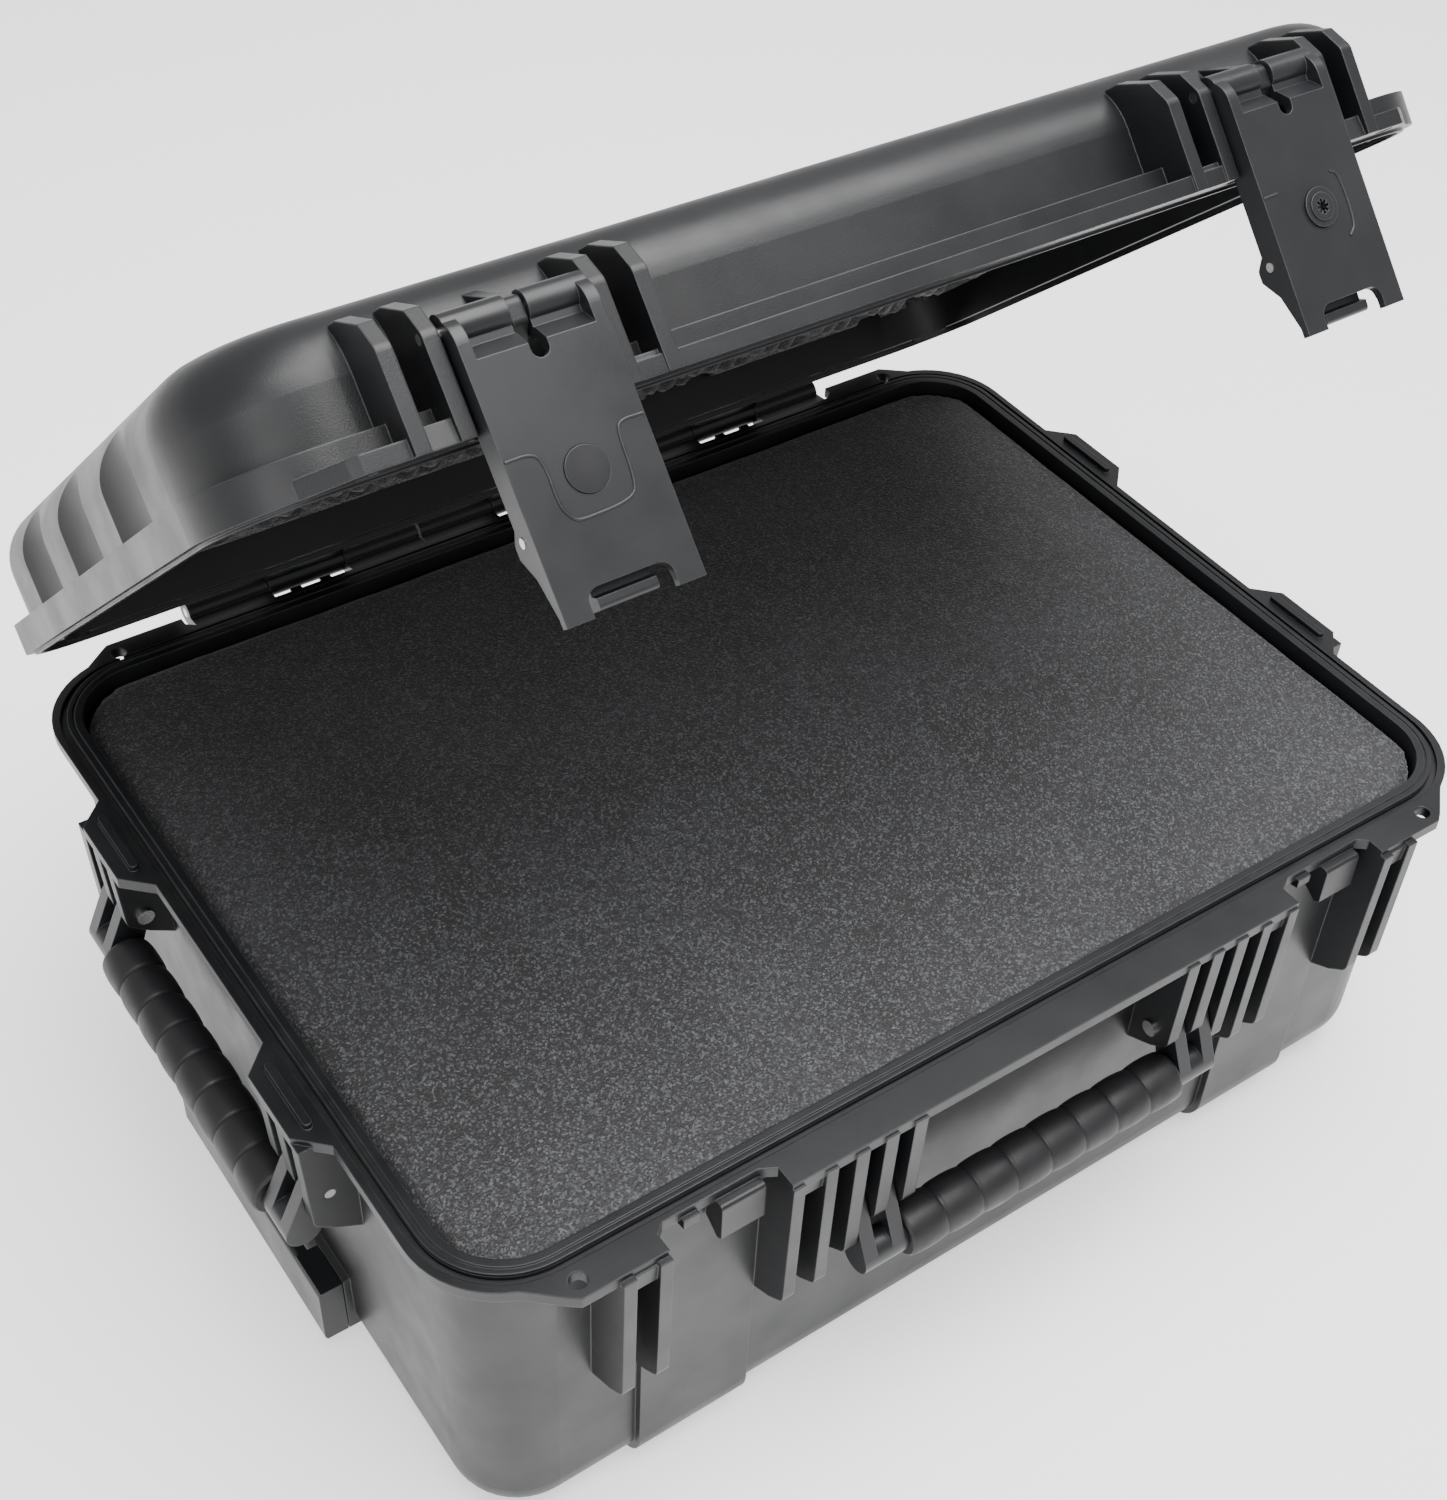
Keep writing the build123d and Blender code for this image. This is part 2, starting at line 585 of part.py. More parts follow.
with BuildPart() as latch_pins:
    for x in (-bay_x, bay_x):
        crossbar("front", x, 2 * (bay_half + rib_thick), latch_axis_y, latch_axis_z, latch_pin_r)
latch_pins.part = latch_pins.part.rotate(hinge_axis, lid_open)
latch_pins.part.label = "latch_pins"
export_step(latch_pins.part, "parts/latch_pins.step")


# ---------------------------------------------------------------- latches, drawn closed
def latch_disc(x, start, thick, radius, mode=Mode.ADD):
    """Disc square to the latch front, level with the lock."""
    with BuildSketch(Plane.XZ.offset(start)) as profile:
        with Locations((x, rim_z - plug_drop)):
            Circle(radius)
    extrude(profile.sketch, amount=thick, mode=mode)


def cover_body(x, hole_r):
    """Latch cover: front plate, side walls, barrels for the pin and a hole for its plug or lock."""
    upright("front", x, latch_width,
            [(latch_back + 2, latch_axis_z), (latch_back + 2, trigger_z + 5), (latch_cam, trigger_z),
             (latch_cam, trigger_z - 5), (latch_back + 5, trigger_z - 13), (latch_front - 3.5, latch_low + 4),
             (latch_front - 3.5, latch_low), (latch_front, latch_low), (latch_front, latch_top),
             (latch_axis_y, latch_top)], [(2, 3.0), (3, 2.0), (8, latch_shoulder)])
    upright("front", x, latch_width - 2 * latch_side,
            [(latch_cam - 2, latch_low - 1), (latch_front - latch_plate, latch_low - 1),
             (latch_front - latch_plate, pocket_z - 3), (latch_axis_y + 3, latch_axis_z - barrel_r - 5),
             (latch_cam - 2, latch_axis_z - barrel_r - 5)], (), Mode.SUBTRACT)
    # open pocket across the two barrels
    upright("front", x, latch_width - 2 * pocket_frame,
            [(latch_front + 1, pocket_z), (latch_axis_y + 5, latch_axis_z - barrel_r - 1.5),
             (latch_cam - 2, latch_axis_z - barrel_r - 1.5), (latch_cam - 2, latch_top + 2),
             (latch_front + 1, latch_top + 2)], (), Mode.SUBTRACT)
    crossbar("front", x, latch_width, latch_axis_y, latch_axis_z, barrel_r)
    upright("front", x, latch_width - 2,
            [(latch_axis_y - 3, latch_axis_z), (latch_axis_y - 3, latch_axis_z - barrel_r - 3),
             (latch_axis_y + 4, latch_axis_z - barrel_r - 3), (latch_axis_y + 4, latch_axis_z)])
    # slot for the lid fin
    with BuildSketch(Plane.XZ.offset(latch_cam - 3)) as slot:
        with Locations((x, latch_top + 3)):
            SlotOverall(2 * (latch_top + 3 - fin_slot_z), barrel_gap, rotation=90)
    extrude(slot.sketch, amount=latch_front - latch_cam + 4, mode=Mode.SUBTRACT)
    # thumb notch at the bottom
    with BuildSketch(Plane.XZ.offset(latch_front - latch_plate - 1)) as notch:
        with Locations((x, latch_low)):
            RectangleRounded(notch_wide, 2 * notch_high, 5)
    extrude(notch.sketch, amount=latch_plate + 2, mode=Mode.SUBTRACT)
    crossbar("front", x, latch_width + 2, latch_axis_y, latch_axis_z, latch_pin_r + running, Mode.SUBTRACT)
    crossbar("front", x, latch_width + 2, trigger_y, trigger_z, latch_pin_r + running, Mode.SUBTRACT)
    latch_disc(x, latch_front - latch_plate - 1, latch_plate + 2, hole_r, Mode.SUBTRACT)


def trigger_body(x):
    """Trigger: split barrel on its pin, hook above, lever below with a tip in the notch."""
    half = latch_width / 2 - latch_side - 0.5
    for end in (-1, 1):
        middle = x + end * (half + spring_half) / 2
        crossbar("front", middle, half - spring_half, trigger_y, trigger_z, 4.5)
        upright("front", middle, half - spring_half,
                [(trigger_y, trigger_z + 4), (hook_y, trigger_z + 8.5), (hook_y, trigger_z + 4),
                 (trigger_y - 5, trigger_z - 4), (trigger_y - 2, trigger_z - 9), (trigger_y + 1, trigger_z - 9),
                 (trigger_y + 1, trigger_z)])
    upright("front", x, notch_wide - 10,
            [(trigger_y - 3, trigger_z - 5.5), (trigger_y + 1, trigger_z - 5.5), (trigger_y + 1, latch_low + 7),
             (trigger_y + 4.5, latch_low + 6), (trigger_y + 4.5, latch_low + 1.5),
             (trigger_y - 3, latch_low + 1.5)], [(4, 2.0)])
    crossbar("front", x, latch_width, trigger_y, trigger_z, latch_pin_r + running, Mode.SUBTRACT)


def spring_coil(x):
    """Coil round the trigger pin."""
    with BuildLine() as coil:
        Helix(pitch=1.5, height=2 * spring_half - 3, radius=3.0, center=(x - spring_half + 1.5, -trigger_y, trigger_z),
              direction=(1, 0, 0))
    with BuildSketch(Plane(origin=coil.line @ 0, z_dir=coil.line % 0)) as section:
        Circle(0.5)
    sweep(section.sketch, path=coil.line)


with BuildPart() as latch_cover_left:
    cover_body(-bay_x, plug_r)
latch_cover_left.part = latch_cover_left.part.rotate(hinge_axis, lid_open)
latch_cover_left.part.label = "latch_cover_left"
export_step(latch_cover_left.part, "parts/latch_cover_left.step")

with BuildPart() as latch_cover_right:
    cover_body(bay_x, plug_r)
latch_cover_right.part = latch_cover_right.part.rotate(hinge_axis, lid_open)
latch_cover_right.part.label = "latch_cover_right"
export_step(latch_cover_right.part, "parts/latch_cover_right.step")

with BuildPart() as latch_plug:
    latch_disc(-bay_x, latch_front - latch_plate - 2, 2, plug_r + 1.5)
    latch_disc(-bay_x, latch_front - latch_plate, latch_plate + 0.6, plug_r - 0.1)
latch_plug.part = latch_plug.part.rotate(hinge_axis, lid_open)
latch_plug.part.label = "latch_plug"
export_step(latch_plug.part, "parts/latch_plug.step")

with BuildPart() as lock_ring:
    latch_disc(bay_x, latch_front - latch_plate - 2, 2, plug_r + 1.5)
    latch_disc(bay_x, latch_front - latch_plate, latch_plate + 1.2, plug_r - 0.1)
    latch_disc(bay_x, latch_front - latch_plate - 3, latch_plate + 6, lock_r + running, Mode.SUBTRACT)
lock_ring.part = lock_ring.part.rotate(hinge_axis, lid_open)
lock_ring.part.label = "lock_ring"
export_step(lock_ring.part, "parts/lock_ring.step")

with BuildPart() as lock_core:
    latch_disc(bay_x, latch_front - latch_plate - 3, latch_plate + 4.8, lock_r)
    # cam behind the plate, lying sideways when unlocked
    with BuildSketch(Plane.XZ.offset(latch_front - latch_plate - 4.5)):
        with Locations((bay_x + 2.5, rim_z - plug_drop)):
            SlotOverall(14, 6)
    extrude(amount=2)
    # keyhole
    with BuildSketch(Plane.XZ.offset(latch_front - 1)):
        for turn in range(4):
            with Locations(Location((bay_x, rim_z - plug_drop, 0), 45 * turn)):
                Rectangle(6.5, 1.2)
    extrude(amount=4, mode=Mode.SUBTRACT)
lock_core.part = lock_core.part.rotate(hinge_axis, lid_open)
lock_core.part.label = "lock_core"
export_step(lock_core.part, "parts/lock_core.step")

with BuildPart() as trigger_left:
    trigger_body(-bay_x)
trigger_left.part = trigger_left.part.rotate(hinge_axis, lid_open)
trigger_left.part.label = "trigger_left"
export_step(trigger_left.part, "parts/trigger_left.step")

with BuildPart() as trigger_right:
    trigger_body(bay_x)
trigger_right.part = trigger_right.part.rotate(hinge_axis, lid_open)
trigger_right.part.label = "trigger_right"
export_step(trigger_right.part, "parts/trigger_right.step")

with BuildPart() as trigger_pin_left:
    crossbar("front", -bay_x, latch_width + 0.6, trigger_y, trigger_z, latch_pin_r)
trigger_pin_left.part = trigger_pin_left.part.rotate(hinge_axis, lid_open)
trigger_pin_left.part.label = "trigger_pin_left"
export_step(trigger_pin_left.part, "parts/trigger_pin_left.step")

with BuildPart() as trigger_pin_right:
    crossbar("front", bay_x, latch_width + 0.6, trigger_y, trigger_z, latch_pin_r)
trigger_pin_right.part = trigger_pin_right.part.rotate(hinge_axis, lid_open)
trigger_pin_right.part.label = "trigger_pin_right"
export_step(trigger_pin_right.part, "parts/trigger_pin_right.step")

with BuildPart() as trigger_spring_left:
    spring_coil(-bay_x)
trigger_spring_left.part = trigger_spring_left.part.rotate(hinge_axis, lid_open)
trigger_spring_left.part.label = "trigger_spring_left"
export_step(trigger_spring_left.part, "parts/trigger_spring_left.step")

with BuildPart() as trigger_spring_right:
    spring_coil(bay_x)
trigger_spring_right.part = trigger_spring_right.part.rotate(hinge_axis, lid_open)
trigger_spring_right.part.label = "trigger_spring_right"
export_step(trigger_spring_right.part, "parts/trigger_spring_right.step")


# ---------------------------------------------------------------- swinging handles
def handle_frame(side, centre, pivot):
    """Two forks joined under the middle clevis ribs, and the core that carries the grip."""
    grip = (pivot[0] + handle_arm[0], pivot[1] - handle_arm[1])
    for end in (-1, 1):
        for prong in (-1, 1):
            along = centre + end * clevis_mid + prong * clevis_pitch / 2
            with BuildSketch(facing(side, along)) as strap:
                with Locations(pivot):
                    Circle(7.0)
                with Locations(grip):
                    Circle(8.5)
                make_hull(strap.edges())
            extrude(strap.sketch, amount=arm_thick / 2, both=True)
        inner = grip_half + 0.2
        outer = clevis_mid + clevis_pitch / 2 + arm_thick / 2
        crossbar(side, centre + end * (inner + outer) / 2, outer - inner, grip[0], grip[1], 8.5)
        crossbar(side, centre + end * clevis_mid, 2 * clevis_pitch, pivot[0], pivot[1],
                 handle_pin_r + running, Mode.SUBTRACT)
    crossbar(side, centre, 2 * grip_half + 4, grip[0], grip[1], core_r)


def handle_grip(side, centre, pivot):
    """Grip sleeve with shallow rings."""
    grip = (pivot[0] + handle_arm[0], pivot[1] - handle_arm[1])
    crossbar(side, centre, 2 * grip_half, grip[0], grip[1], grip_r - 1)
    for place in range(-4, 5):
        crossbar(side, centre + place * grip_half * 0.222, 13, grip[0], grip[1], grip_r)
    crossbar(side, centre, 2 * grip_half + 2, grip[0], grip[1], core_r + running, Mode.SUBTRACT)


with BuildPart() as front_handle_frame:
    handle_frame("front", 0, front_pivot)
front_handle_frame.part.label = "front_handle_frame"
export_step(front_handle_frame.part, "parts/front_handle_frame.step")

with BuildPart() as front_handle_grip:
    handle_grip("front", 0, front_pivot)
front_handle_grip.part.label = "front_handle_grip"
export_step(front_handle_grip.part, "parts/front_handle_grip.step")

with BuildPart() as side_handle_frame:
    handle_frame("left", side_shift, side_pivot)
side_handle_frame.part.label = "side_handle_frame"
export_step(side_handle_frame.part, "parts/side_handle_frame.step")

with BuildPart() as side_handle_grip:
    handle_grip("left", side_shift, side_pivot)
side_handle_grip.part.label = "side_handle_grip"
export_step(side_handle_grip.part, "parts/side_handle_grip.step")

# ---------------------------------------------------------------- pull handle
with BuildPart() as rail_sleeves:
    with BuildSketch(Plane.YZ.offset(-half_length - wall)):
        with Locations((-rail_y, rail_z), (rail_y, rail_z)):
            Rectangle(sleeve_wide, sleeve_high)
            Rectangle(rail_wide + 2 * clearance, rail_high + 2 * clearance, mode=Mode.SUBTRACT)
    extrude(amount=half_length + wall + sleeve_end)
    # blocks that join the two sleeves and stand on the floor of the tub
    for x in block_places:
        slab(floor_z + 0.1, rail_z - sleeve_high / 2 + sleeve_wall, block_wide, 2 * rail_y + sleeve_wide, 2,
             Mode.ADD, (x, 0))
rail_sleeves.part.label = "rail_sleeves"
export_step(rail_sleeves.part, "parts/rail_sleeves.step")

pull_back = half_length + wall + pull_strip + 0.4
pull_face = half_length + wall + pull_out

with BuildPart() as pull_grip:
    upright("left", 0, 2 * pull_half,
            [(pull_face - pull_bar, pull_low), (pull_face, pull_low), (pull_face, pull_high),
             (pull_face - pull_bar, pull_high)], [(1, 3.0), (2, 3.0)])
    for end in (-1, 1):
        upright("left", end * (pull_half - 13), 26,
                [(pull_back, pull_low), (pull_face - 1, pull_low), (pull_face - 1, pull_high),
                 (pull_back, pull_high)])
pull_grip.part.label = "pull_grip"
export_step(pull_grip.part, "parts/pull_grip.step")

with BuildPart() as pull_rails:
    with BuildSketch(Plane.YZ.offset(-pull_back)):
        with Locations((-rail_y, rail_z), (rail_y, rail_z)):
            Rectangle(rail_wide, rail_high)
            Rectangle(rail_wide - 3, rail_high - 3, mode=Mode.SUBTRACT)
    extrude(amount=rail_length)
pull_rails.part.label = "pull_rails"
export_step(pull_rails.part, "parts/pull_rails.step")

# ---------------------------------------------------------------- wheels
with BuildPart() as wheel_axles:
    for y in (-wheel_y, wheel_y):
        crossbar("right", y, 2 * (well_half + well_wall), wheel_x, wheel_z, axle_r)
wheel_axles.part.label = "wheel_axles"
export_step(wheel_axles.part, "parts/wheel_axles.step")


def wheel_tyre(y):
    """Tyre with rounded shoulders."""
    crossbar("right", y, wheel_width, wheel_x, wheel_z, wheel_r)
    crossbar("right", y, wheel_width + 2, wheel_x, wheel_z, wheel_r - tyre_thick, Mode.SUBTRACT)


def wheel_hub(y):
    """Hub with a bearing seat in each face."""
    crossbar("right", y, wheel_width - 1, wheel_x, wheel_z, wheel_r - tyre_thick - 0.02)
    crossbar("right", y, wheel_width + 2, wheel_x, wheel_z, axle_r + 2, Mode.SUBTRACT)
    for end in (-1, 1):
        seat = wheel_width / 2 - bearing_wide / 2 - 0.5
        crossbar("right", y + end * seat, bearing_wide + 0.01, wheel_x, wheel_z, bearing_r + 0.02, Mode.SUBTRACT)


def wheel_bearings(y):
    """Two ball bearings, shown as closed rings."""
    for end in (-1, 1):
        seat = wheel_width / 2 - bearing_wide / 2 - 0.5
        crossbar("right", y + end * seat, bearing_wide, wheel_x, wheel_z, bearing_r)
    crossbar("right", y, wheel_width, wheel_x, wheel_z, axle_r + running, Mode.SUBTRACT)


with BuildPart() as wheel_tyre_front:
    wheel_tyre(-wheel_y)
wheel_tyre_front.part.label = "wheel_tyre_front"
export_step(wheel_tyre_front.part, "parts/wheel_tyre_front.step")

with BuildPart() as wheel_tyre_rear:
    wheel_tyre(wheel_y)
wheel_tyre_rear.part.label = "wheel_tyre_rear"
export_step(wheel_tyre_rear.part, "parts/wheel_tyre_rear.step")

with BuildPart() as wheel_hub_front:
    wheel_hub(-wheel_y)
wheel_hub_front.part.label = "wheel_hub_front"
export_step(wheel_hub_front.part, "parts/wheel_hub_front.step")

with BuildPart() as wheel_hub_rear:
    wheel_hub(wheel_y)
wheel_hub_rear.part.label = "wheel_hub_rear"
export_step(wheel_hub_rear.part, "parts/wheel_hub_rear.step")

with BuildPart() as wheel_bearings_front:
    wheel_bearings(-wheel_y)
wheel_bearings_front.part.label = "wheel_bearings_front"
export_step(wheel_bearings_front.part, "parts/wheel_bearings_front.step")

with BuildPart() as wheel_bearings_rear:
    wheel_bearings(wheel_y)
wheel_bearings_rear.part.label = "wheel_bearings_rear"
export_step(wheel_bearings_rear.part, "parts/wheel_bearings_rear.step")
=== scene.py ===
import json
import math

import bmesh
import bpy
from mathutils import Matrix, Vector, noise


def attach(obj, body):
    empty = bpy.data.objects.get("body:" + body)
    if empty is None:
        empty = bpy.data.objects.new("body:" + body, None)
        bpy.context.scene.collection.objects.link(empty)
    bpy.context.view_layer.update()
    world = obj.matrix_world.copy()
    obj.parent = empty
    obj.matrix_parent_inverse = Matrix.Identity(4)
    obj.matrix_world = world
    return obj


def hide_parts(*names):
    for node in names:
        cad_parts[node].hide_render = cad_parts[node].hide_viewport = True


# Open hard equipment case: finishes, foam, grips and raised details around the case's own parts.
# Metres; X along the front, the front faces -Y, Z up.
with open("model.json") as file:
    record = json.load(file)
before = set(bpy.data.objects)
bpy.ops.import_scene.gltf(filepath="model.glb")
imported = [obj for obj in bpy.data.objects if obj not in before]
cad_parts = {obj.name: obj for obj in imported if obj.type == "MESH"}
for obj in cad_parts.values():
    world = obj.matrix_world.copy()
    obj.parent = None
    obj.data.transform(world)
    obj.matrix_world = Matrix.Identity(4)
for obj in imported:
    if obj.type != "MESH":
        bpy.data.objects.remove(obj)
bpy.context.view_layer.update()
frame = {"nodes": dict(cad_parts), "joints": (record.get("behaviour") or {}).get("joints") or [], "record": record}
nodes = frame["nodes"]
joints = {j["name"]: j for j in frame["joints"]}

lid_pivot = Vector(joints["lid_hinge"]["pos_m"])
lid_angle = math.radians(42.5)          # how far the lid stands open
rim_height = 0.204
latch_spacing = 0.176                   # latches, from the middle of the case
latch_face = 0.24305                    # front of a closed latch, forward of the middle
grip_places = {
    "front_handle": Matrix.Translation((0.0, -0.233, 0.118)),
    "side_handle": Matrix.Translation((-0.306, 0.006, 0.1375)) @ Matrix.Rotation(math.pi / 2, 4, "Z"),
}
lid_turn = (Matrix.Translation(lid_pivot) @ Matrix.Rotation(-lid_angle, 4, "X")
            @ Matrix.Translation(-lid_pivot))


# ------------------------------------------------------------------ finishes
class Finish:
    """Small helper that wires shader nodes for one finish."""

    def __init__(self, name):
        self.material = bpy.data.materials.new(name)
        self.material.use_nodes = True
        self.tree = self.material.node_tree
        self.shader = self.tree.nodes["Principled BSDF"]
        self.place = self.add("ShaderNodeTexCoord").outputs["Object"]

    def add(self, kind, **settings):
        node = self.tree.nodes.new(kind)
        for key, value in settings.items():
            setattr(node, key, value)
        return node

    def join(self, source, target):
        self.tree.links.new(source, target)

    def noise(self, scale, detail=3.0, rough=0.55, stretch=None):
        node = self.add("ShaderNodeTexNoise")
        node.inputs["Scale"].default_value = scale
        node.inputs["Detail"].default_value = detail
        node.inputs["Roughness"].default_value = rough
        if stretch:
            mapping = self.add("ShaderNodeMapping")
            mapping.inputs["Scale"].default_value = stretch
            self.join(self.place, mapping.inputs["Vector"])
            self.join(mapping.outputs["Vector"], node.inputs["Vector"])
        else:
            self.join(self.place, node.inputs["Vector"])
        return node.outputs["Fac"]

    def ramp(self, source, low, high, start, end):
        node = self.add("ShaderNodeMapRange")
        node.inputs["From Min"].default_value = low
        node.inputs["From Max"].default_value = high
        node.inputs["To Min"].default_value = start
        node.inputs["To Max"].default_value = end
        self.join(source, node.inputs["Value"])
        return node.outputs["Result"]

    def mix(self, factor, first, second):
        node = self.add("ShaderNodeMix", data_type="RGBA")
        self.join(factor, node.inputs["Factor"])
        for socket, value in ((node.inputs["A"], first), (node.inputs["B"], second)):
            if isinstance(value, tuple):
                socket.default_value = (*value, 1.0)
            else:
                self.join(value, socket)
        return node.outputs["Result"]

    def bump(self, height, strength, distance, normal=None):
        node = self.add("ShaderNodeBump")
        node.inputs["Strength"].default_value = strength
        node.inputs["Distance"].default_value = distance
        self.join(height, node.inputs["Height"])
        if normal:
            self.join(normal, node.inputs["Normal"])
        return node.outputs["Normal"]

    def edges(self, radius):
        """Rounded-edge normal and a mask that is 1 on edges, used for edge wear and painted edge highlight."""
        bevel = self.add("ShaderNodeBevel", samples=6)
        bevel.inputs["Radius"].default_value = radius
        true_normal = self.add("ShaderNodeNewGeometry").outputs["True Normal"]
        dot = self.add("ShaderNodeVectorMath", operation="DOT_PRODUCT")
        self.join(bevel.outputs["Normal"], dot.inputs[0])
        self.join(true_normal, dot.inputs[1])
        return bevel.outputs["Normal"], self.ramp(dot.outputs["Value"], 0.995, 0.86, 0.0, 1.0)


def moulded(name, dark, light, edge_wear_highlight, rough, grain, edge=0.0009):
    """Moulded plastic: mottled colour, fine sand texture, paler edges that are partly wear and partly painted
    highlight.
    """
    finish = Finish(name)
    cloud = finish.ramp(finish.noise(9.0, 5.0, 0.6), 0.3, 0.7, 0.0, 1.0)
    colour = finish.mix(cloud, dark, light)
    streak = finish.ramp(finish.noise(42.0, 6.0, 0.7, (1.0, 1.0, 0.35)), 0.55, 0.8, 0.0, 0.45)
    colour = finish.mix(streak, colour, light)
    # edge mask: the paler edge colour is part wear, part painted highlight along every edge
    normal, wear_highlight_mask = finish.edges(edge)
    patchy_wear_highlight = finish.add("ShaderNodeMath", operation="MULTIPLY")
    finish.join(wear_highlight_mask, patchy_wear_highlight.inputs[0])
    finish.join(finish.ramp(finish.noise(120.0, 4.0), 0.35, 0.65, 0.35, 0.8), patchy_wear_highlight.inputs[1])
    finish.join(finish.mix(patchy_wear_highlight.outputs[0], colour, edge_wear_highlight), finish.shader.inputs["Base Color"])
    finish.join(finish.ramp(finish.noise(30.0, 4.0), 0.3, 0.7, rough - 0.06, rough + 0.07),
                finish.shader.inputs["Roughness"])
    sand = finish.bump(finish.noise(1500.0, 2.0, 0.6), grain, 0.0002, normal)
    soft = finish.bump(finish.noise(60.0, 2.0), 0.12, 0.0006, sand)
    finish.join(soft, finish.shader.inputs["Normal"])
    finish.shader.inputs["Specular IOR Level"].default_value = 0.45
    return finish.material


def foam_skin(name, dark, light):
    """Closed-cell foam: fine pits and painted glint specks of the cell walls."""
    finish = Finish(name)
    cells = finish.add("ShaderNodeTexVoronoi", feature="F1")
    cells.inputs["Scale"].default_value = 950.0
    finish.join(finish.place, cells.inputs["Vector"])
    glint_cells = finish.add("ShaderNodeTexVoronoi", feature="F1")
    glint_cells.inputs["Scale"].default_value = 1050.0
    finish.join(finish.place, glint_cells.inputs["Vector"])
    painted_glint_mask = finish.ramp(glint_cells.outputs["Color"], 0.55, 0.95, 0.0, 0.9)
    body = finish.mix(finish.ramp(finish.noise(14.0, 4.0), 0.35, 0.65, 0.0, 1.0), dark, light)
    pits = finish.mix(finish.ramp(finish.noise(420.0, 3.0, 0.7), 0.38, 0.62, 0.0, 1.0), dark, body)
    # painted highlight: bright specks mixed into the base colour stand for glint on cell walls
    finish.join(finish.mix(painted_glint_mask, pits, (0.10, 0.102, 0.11)), finish.shader.inputs["Base Color"])
    finish.shader.inputs["Roughness"].default_value = 0.62
    finish.shader.inputs["Sheen Weight"].default_value = 0.25
    finish.shader.inputs["Sheen Roughness"].default_value = 0.5
    rough_skin = finish.bump(cells.outputs["Distance"], 0.55, 0.0006)
    finish.join(finish.bump(finish.noise(90.0, 4.0), 0.3, 0.0012, rough_skin), finish.shader.inputs["Normal"])
    return finish.material


def elastomer(name, colour, rough):
    """Soft rubber with a faint bloom."""
    finish = Finish(name)
    bloom = finish.ramp(finish.noise(55.0, 5.0), 0.4, 0.75, 0.0, 0.6)
    paler = tuple(1.7 * c for c in colour)
    finish.join(finish.mix(bloom, colour, paler), finish.shader.inputs["Base Color"])
    finish.join(finish.ramp(finish.noise(80.0, 3.0), 0.3, 0.7, rough - 0.08, rough + 0.08),
                finish.shader.inputs["Roughness"])
    finish.join(finish.bump(finish.noise(900.0, 2.0), 0.25, 0.0002), finish.shader.inputs["Normal"])
    finish.shader.inputs["Specular IOR Level"].default_value = 0.4
    return finish.material


def turned_metal(name, colour, rough, stretch):
    """Bare metal with fine lines and faint smears."""
    finish = Finish(name)
    lines = finish.noise(700.0, 2.0, 0.5, stretch)
    finish.join(finish.mix(finish.ramp(lines, 0.3, 0.7, 0.0, 1.0), colour, tuple(0.8 * c for c in colour)),
                finish.shader.inputs["Base Color"])
    finish.join(finish.ramp(finish.noise(60.0, 3.0), 0.3, 0.7, rough - 0.06, rough + 0.1),
                finish.shader.inputs["Roughness"])
    finish.join(finish.bump(lines, 0.15, 0.0001), finish.shader.inputs["Normal"])
    finish.shader.inputs["Metallic"].default_value = 1.0
    return finish.material


# third colour of each moulded finish: paler edge colour, part wear and part painted edge highlight
shell_plastic = moulded("moulded_shell", (0.0040, 0.0043, 0.0052), (0.0075, 0.0079, 0.0092),
                        (0.055, 0.057, 0.062), 0.40, 0.3)
fitting_plastic = moulded("moulded_fittings", (0.0085, 0.0088, 0.0102), (0.0125, 0.013, 0.0148),
                          (0.075, 0.077, 0.083), 0.36, 0.14, 0.0006)
plug_plastic = moulded("latch_plug_plastic", (0.0065, 0.0067, 0.0078), (0.0095, 0.0098, 0.011),
                       (0.06, 0.061, 0.065), 0.31,
                       0.1, 0.0005)
grip_rubber = elastomer("grip_overmould", (0.0085, 0.0086, 0.0096), 0.5)
seal_rubber = elastomer("rim_gasket_rubber", (0.009, 0.009, 0.0095), 0.45)
wheel_rubber = elastomer("wheel_tyre_rubber", (0.015, 0.015, 0.016), 0.4)
case_foam = foam_skin("charcoal_foam", (0.006, 0.006, 0.0068), (0.022, 0.0222, 0.025))
pin_steel = turned_metal("pin_steel", (0.62, 0.62, 0.6), 0.26, (0.15, 1.0, 1.0))
rail_aluminium = turned_metal("rail_aluminium", (0.6, 0.6, 0.61), 0.34, (0.05, 1.0, 1.0))
slot_finish = {"shell": shell_plastic, "fittings": fitting_plastic, "grip_rubber": grip_rubber,
               "seal_rubber": seal_rubber, "wheel_rubber": wheel_rubber, "foam": case_foam,
               "steel": pin_steel, "aluminium": rail_aluminium}
slot_of = {part["node"]: part["material_slot"] for part in frame["record"]["subparts"]}
for name, part in nodes.items():
    part.data.materials.clear()
    part.data.materials.append(plug_plastic if name == "latch_plug" else slot_finish[slot_of[name]])
    for face in part.data.polygons:
        face.material_index = 0


# ------------------------------------------------------------------ shared shaping tools
def add_piece(name, mesh, material, body, replaced=()):
    """Finished mesh as a piece that rides a body."""
    piece = bpy.data.objects.new(name, mesh)
    bpy.context.scene.collection.objects.link(piece)
    mesh.materials.clear()
    mesh.materials.append(material)
    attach(piece, body)
    if replaced:
        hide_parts(*replaced)
    return piece


def joined_copy(node):
    """Copy of a part's mesh with its loose triangles joined."""
    mesh = nodes[node].data.copy()
    work = bmesh.new()
    work.from_mesh(mesh)
    bmesh.ops.remove_doubles(work, verts=work.verts, dist=1e-6)
    work.to_mesh(mesh)
    work.free()
    return mesh


